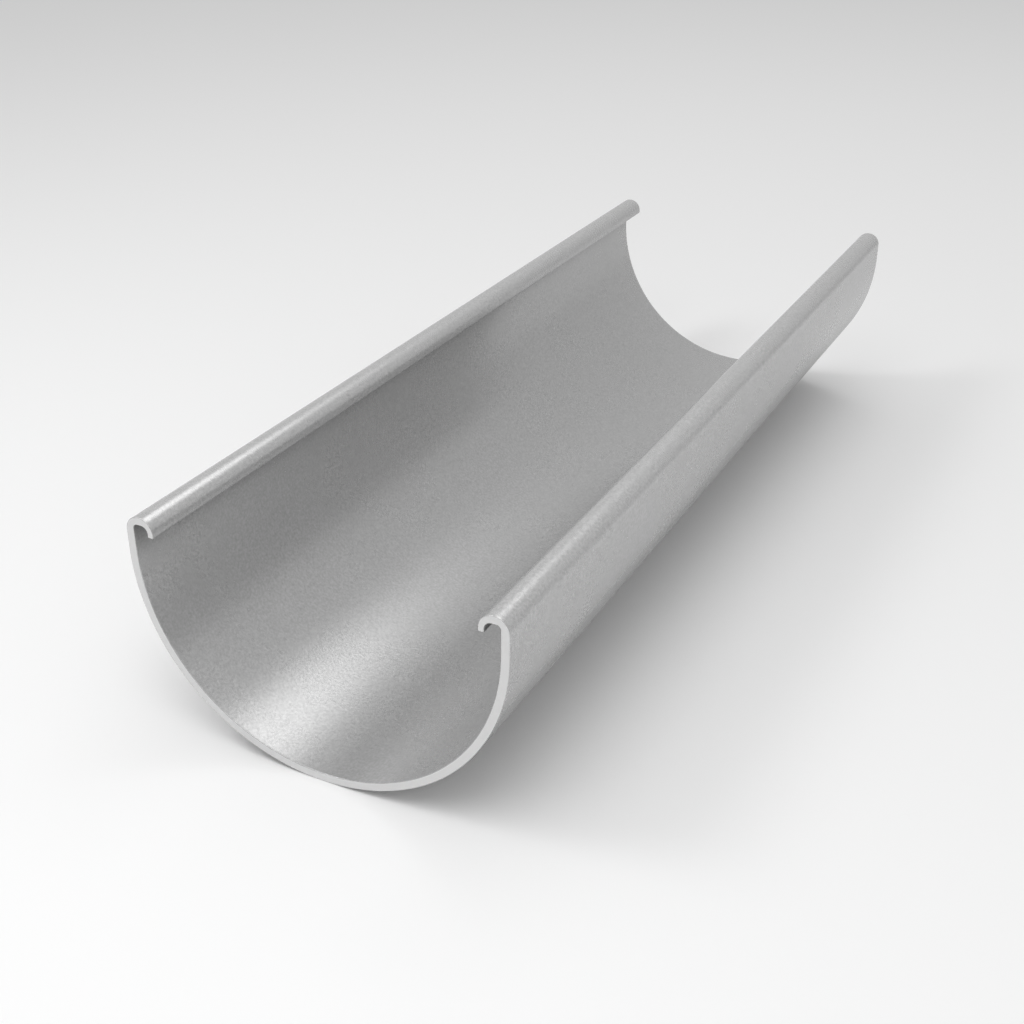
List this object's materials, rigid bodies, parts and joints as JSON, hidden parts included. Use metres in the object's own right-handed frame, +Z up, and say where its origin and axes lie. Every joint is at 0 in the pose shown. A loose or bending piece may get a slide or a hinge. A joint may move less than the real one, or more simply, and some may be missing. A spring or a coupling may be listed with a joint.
{
  "type": "half-round gutter section",
  "caption": "Short length of half-round metal gutter with upright rims, lips rolled inwards and square-cut open ends.",
  "frame": {"origin": "middle of the length on the lowest line of the round, where the gutter lies on a level floor", "axes": "+Y along the gutter, +X across it, +Z up through its open mouth"},
  "size_m": [0.125, 0.36, 0.0737],
  "materials": {
    "aluminium": "satin, fine-grained mill finish"
  },
  "bodies": {
    "root": {"gutter_section": "aluminium"}
  },
  "joints": []
}
